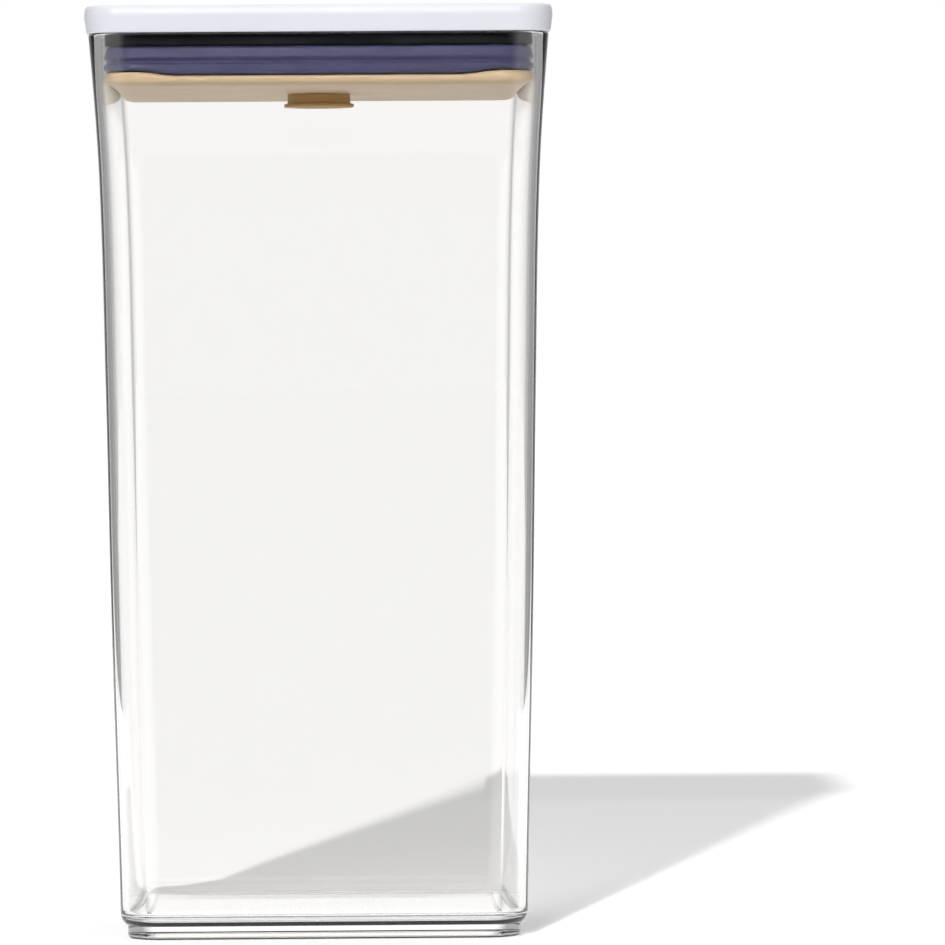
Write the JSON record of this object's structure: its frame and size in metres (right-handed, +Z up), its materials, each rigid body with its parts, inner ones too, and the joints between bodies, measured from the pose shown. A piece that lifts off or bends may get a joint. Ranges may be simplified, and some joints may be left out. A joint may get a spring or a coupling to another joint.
{
  "type": "food canister",
  "caption": "Tall square clear food canister with a white push-button lid, silicone gasket and lifting plate.",
  "frame": {"origin": "centre of the base, on the surface it stands on", "axes": "+Z up, from base to lid; -Y is the front"},
  "size_m": [0.16, 0.16, 0.3195],
  "materials": {
    "clear_copolyester": "clear moulded plastic, polished",
    "white_abs": "white satin moulded plastic",
    "white_button": "white satin moulded plastic, fine grain",
    "black_abs": "black satin moulded plastic",
    "navy_silicone": "soft silicone, satin",
    "ivory_plastic": "ivory moulded plastic, slightly translucent",
    "brown_plastic": "tan moulded plastic",
    "acetal": "natural acetal, low friction",
    "grey_nylon": "glass-filled nylon",
    "steel": "stainless steel, as formed",
    "seal_rubber": "translucent silicone"
  },
  "bodies": {
    "canister": {"canister_body": "clear_copolyester"},
    "lid": {"lid_cover": "white_abs", "lid_chassis": "black_abs", "chassis_screws": "steel", "rocker_pins": "steel", "latch_bracket": "grey_nylon", "bracket_screws": "steel", "gasket": "navy_silicone", "pop_springs": "steel"},
    "button": {"push_button": "white_button", "button_stem": "acetal", "heart_cam": "acetal"},
    "plate": {"lift_spider": "steel", "lower_plate": "ivory_plastic"},
    "knob": {"hub_knob": "brown_plastic", "hub_seal": "seal_rubber"},
    "latch": {"latch_wire": "steel"},
    "lever_right": {"rocker_right": "grey_nylon"},
    "lever_back": {"rocker_back": "grey_nylon"},
    "lever_left": {"rocker_left": "grey_nylon"},
    "lever_front": {"rocker_front": "grey_nylon"}
  },
  "joints": [
    {"name": "lid_lift", "type": "slide", "parent": "canister", "child": "lid", "axis": [0, 0, 1], "range_m": [0, 0.15]},
    {"name": "button_pop", "type": "slide", "parent": "lid", "child": "button", "axis": [0, 0, 1], "range_m": [0, 0.01], "deforming": ["pop_springs"]},
    {"name": "plate_drop", "type": "slide", "parent": "lid", "child": "plate", "axis": [0, 0, -1], "range_m": [0, 0.002], "deforming": ["gasket"]},
    {"name": "rocker_right_turn", "type": "hinge", "parent": "lid", "child": "lever_right", "pos_m": [0.04, 0, 0.3072], "axis": [0, 1, 0], "range_deg": [0, 22.18]},
    {"name": "rocker_back_turn", "type": "hinge", "parent": "lid", "child": "lever_back", "pos_m": [0, 0.04, 0.3072], "axis": [-1, 0, 0], "range_deg": [0, 22.18]},
    {"name": "rocker_left_turn", "type": "hinge", "parent": "lid", "child": "lever_left", "pos_m": [-0.04, 0, 0.3072], "axis": [0, -1, 0], "range_deg": [0, 22.18]},
    {"name": "rocker_front_turn", "type": "hinge", "parent": "lid", "child": "lever_front", "pos_m": [0, -0.04, 0.3072], "axis": [1, 0, 0], "range_deg": [0, 22.18]},
    {"name": "latch_swing", "type": "hinge", "parent": "lid", "child": "latch", "pos_m": [0, 0, 0.3012], "axis": [0, 1, 0], "range_deg": [0, 11.31]},
    {"name": "knob_turn", "type": "hinge", "parent": "plate", "child": "knob", "pos_m": [0, 0, 0.2905], "axis": [0, 0, -1], "range_deg": [0, 90]}
  ],
  "couplings": [
    {"joint": "rocker_right_turn", "follows": "button_pop", "rad_per_m": 38.703},
    {"joint": "rocker_back_turn", "follows": "button_pop", "rad_per_m": 38.703},
    {"joint": "rocker_left_turn", "follows": "button_pop", "rad_per_m": 38.703},
    {"joint": "rocker_front_turn", "follows": "button_pop", "rad_per_m": 38.703},
    {"joint": "plate_drop", "follows": "button_pop", "ratio": 0.2},
    {"joint": "latch_swing", "follows": "button_pop", "rad_per_m": 19.736}
  ]
}
